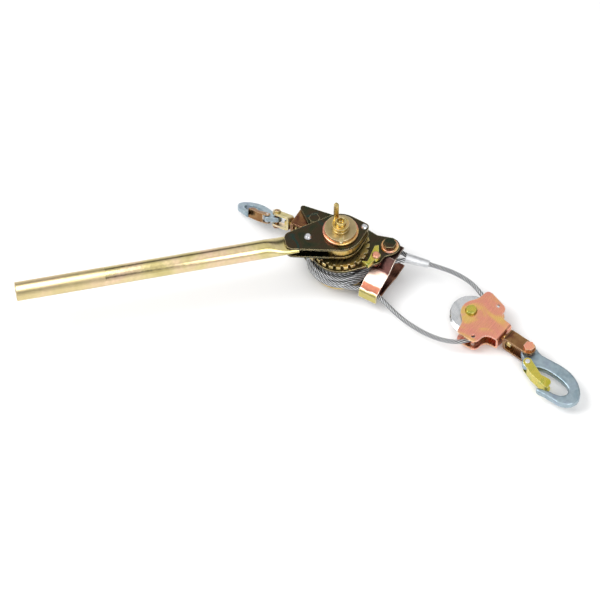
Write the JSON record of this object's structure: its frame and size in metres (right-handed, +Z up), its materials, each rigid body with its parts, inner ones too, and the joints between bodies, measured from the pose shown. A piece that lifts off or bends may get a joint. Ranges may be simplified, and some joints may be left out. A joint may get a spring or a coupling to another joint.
{
  "type": "come along winch",
  "caption": "Hand ratchet cable puller: lever-driven rope drum between side plates, wire rope round a fall block, and a swivelling safety hook at each end.",
  "frame": {"origin": "centre of the flat underside of the lower bearing cup, on the drum's axis", "axes": "+Z up along the drum's axis, +X along the line of pull towards the front hook"},
  "size_m": [0.6777, 0.3431, 0.135],
  "materials": {
    "dark_zinc": "dark olive zinc dichromate, satin",
    "gold_zinc": "pale gold zinc dichromate, satin",
    "pink_zinc": "iridescent pink and gold zinc dichromate",
    "brown_zinc": "brown bronze zinc dichromate",
    "yellow_zinc": "bright yellow-green zinc dichromate",
    "clear_zinc": "clear zinc",
    "forged_steel": "forged, blue-grey clear zinc",
    "wire_rope": "galvanised strands",
    "ferrule_alu": "pressed, matt"
  },
  "bodies": {
    "frame": {"frame_upper_plate": "dark_zinc", "frame_lower_plate": "dark_zinc", "rear_bridge": "brown_zinc", "rope_guide_upper": "pink_zinc", "rope_guide_lower": "brown_zinc", "lower_bearing_cup": "gold_zinc", "anchor_washer": "pink_zinc", "anchor_bolt": "dark_zinc", "anchor_nut": "gold_zinc", "rope_anchor_bush": "clear_zinc", "rear_bolt": "dark_zinc", "rear_nut": "gold_zinc", "stop_pawl_pin": "pink_zinc", "rope_eye": "wire_rope", "rope_ferrule": "ferrule_alu", "rope_upper_fall": "wire_rope", "rope_lower_fall": "wire_rope"},
    "drum": {"drum": "gold_zinc", "drum_shaft": "gold_zinc", "ratchet_wheel": "gold_zinc", "spacer_collar": "gold_zinc", "rewind_crank": "gold_zinc", "rope_coil": "wire_rope"},
    "lever": {"lever_upper_plate": "dark_zinc", "lever_lower_plate": "dark_zinc", "lever_hub_ring": "gold_zinc", "handle_tube": "gold_zinc", "lever_nose_rivet": "clear_zinc", "feed_pawl_pin": "clear_zinc", "feed_pawl_spacer": "gold_zinc"},
    "release": {"release_ring": "pink_zinc", "release_disc": "gold_zinc", "release_tab": "clear_zinc"},
    "feed_pawl": {"feed_pawl": "gold_zinc"},
    "stop_pawl": {"stop_pawl": "yellow_zinc"},
    "block": {"block_frame": "pink_zinc", "sheave_bush": "gold_zinc", "sheave_pin": "yellow_zinc", "sheave_pin_nut": "gold_zinc", "rope_sheave_turn": "wire_rope", "front_swivel_stud": "gold_zinc"},
    "sheave": {"sheave": "clear_zinc"},
    "front_yoke": {"front_yoke": "brown_zinc", "front_yoke_bolt": "pink_zinc", "front_yoke_nut": "gold_zinc"},
    "front_hook": {"front_hook": "forged_steel", "front_latch_pin": "clear_zinc", "front_latch_spring": "clear_zinc"},
    "front_latch": {"front_latch": "yellow_zinc"},
    "rear_stud": {"rear_swivel_stud": "gold_zinc", "rear_yoke": "gold_zinc", "rear_yoke_bolt": "brown_zinc", "rear_yoke_nut": "gold_zinc"},
    "rear_hook": {"rear_hook": "forged_steel", "rear_latch_pin": "clear_zinc", "rear_latch_spring": "clear_zinc"},
    "rear_latch": {"rear_latch": "brown_zinc"}
  },
  "joints": [
    {"name": "drum_spin", "type": "hinge", "parent": "frame", "child": "drum", "pos_m": [0, 0, 0.033], "axis": [0, 0, 1], "range_deg": [0, 1080]},
    {"name": "lever_swing", "type": "hinge", "parent": "frame", "child": "lever", "pos_m": [0, 0, 0.08], "axis": [0, 0, 1], "range_deg": [-30, 75]},
    {"name": "release_turn", "type": "hinge", "parent": "lever", "child": "release", "pos_m": [0, 0, 0.094], "axis": [0, 0, 1], "range_deg": [0, 40]},
    {"name": "feed_pawl_lift", "type": "hinge", "parent": "lever", "child": "feed_pawl", "pos_m": [-0.032, -0.027, 0.064], "axis": [0, 0, 1], "range_deg": [-10, 0]},
    {"name": "stop_pawl_lift", "type": "hinge", "parent": "frame", "child": "stop_pawl", "pos_m": [0.048, 0.007, 0.061], "axis": [0, 0, 1], "range_deg": [-9, 0]},
    {"name": "block_slide", "type": "slide", "parent": "frame", "child": "block", "axis": [1, 0, 0], "range_m": [0, 0.3398], "deforming": ["rope_upper_fall", "rope_lower_fall"]},
    {"name": "sheave_spin", "type": "hinge", "parent": "block", "child": "sheave", "pos_m": [0.183, 0.014, 0.019], "axis": [0, 0, 1], "range_deg": [0, 810]},
    {"name": "front_swivel", "type": "hinge", "parent": "block", "child": "front_yoke", "pos_m": [0.23564, 0.00566, 0.019], "axis": [0.9877, -0.1564, 0], "continuous": true},
    {"name": "front_hook_pivot", "type": "hinge", "parent": "front_yoke", "child": "front_hook", "pos_m": [0.27318, -0.00028, 0.019], "axis": [-0.0055, -0.0345, 0.9994], "range_deg": [-50, 55]},
    {"name": "front_latch_pivot", "type": "hinge", "parent": "front_hook", "child": "front_latch", "pos_m": [0.27982, -0.01679, 0.01847], "axis": [-0.0055, -0.0345, 0.9994], "range_deg": [0, 22], "stiffness_Nm_per_rad": 0.02, "springref_deg": -17.19},
    {"name": "rear_swivel", "type": "hinge", "parent": "frame", "child": "rear_stud", "pos_m": [-0.077, 0.011, 0.0392], "axis": [-0.9355, 0.1207, -0.332], "range_deg": [-40, 40]},
    {"name": "rear_hook_pivot", "type": "hinge", "parent": "rear_stud", "child": "rear_hook", "pos_m": [-0.1017, 0.01419, 0.03044], "axis": [0.2369, -0.4828, -0.8431], "range_deg": [-45, 45]},
    {"name": "rear_latch_pivot", "type": "hinge", "parent": "rear_hook", "child": "rear_latch", "pos_m": [-0.11227, 0.0078, 0.03113], "axis": [0.2369, -0.4828, -0.8431], "range_deg": [0, 22], "stiffness_Nm_per_rad": 0.02, "springref_deg": -17.19}
  ],
  "couplings": [
    {"joint": "block_slide", "follows": "drum_spin", "m_per_rad": 0.018},
    {"joint": "sheave_spin", "follows": "drum_spin", "ratio": 0.7407}
  ]
}
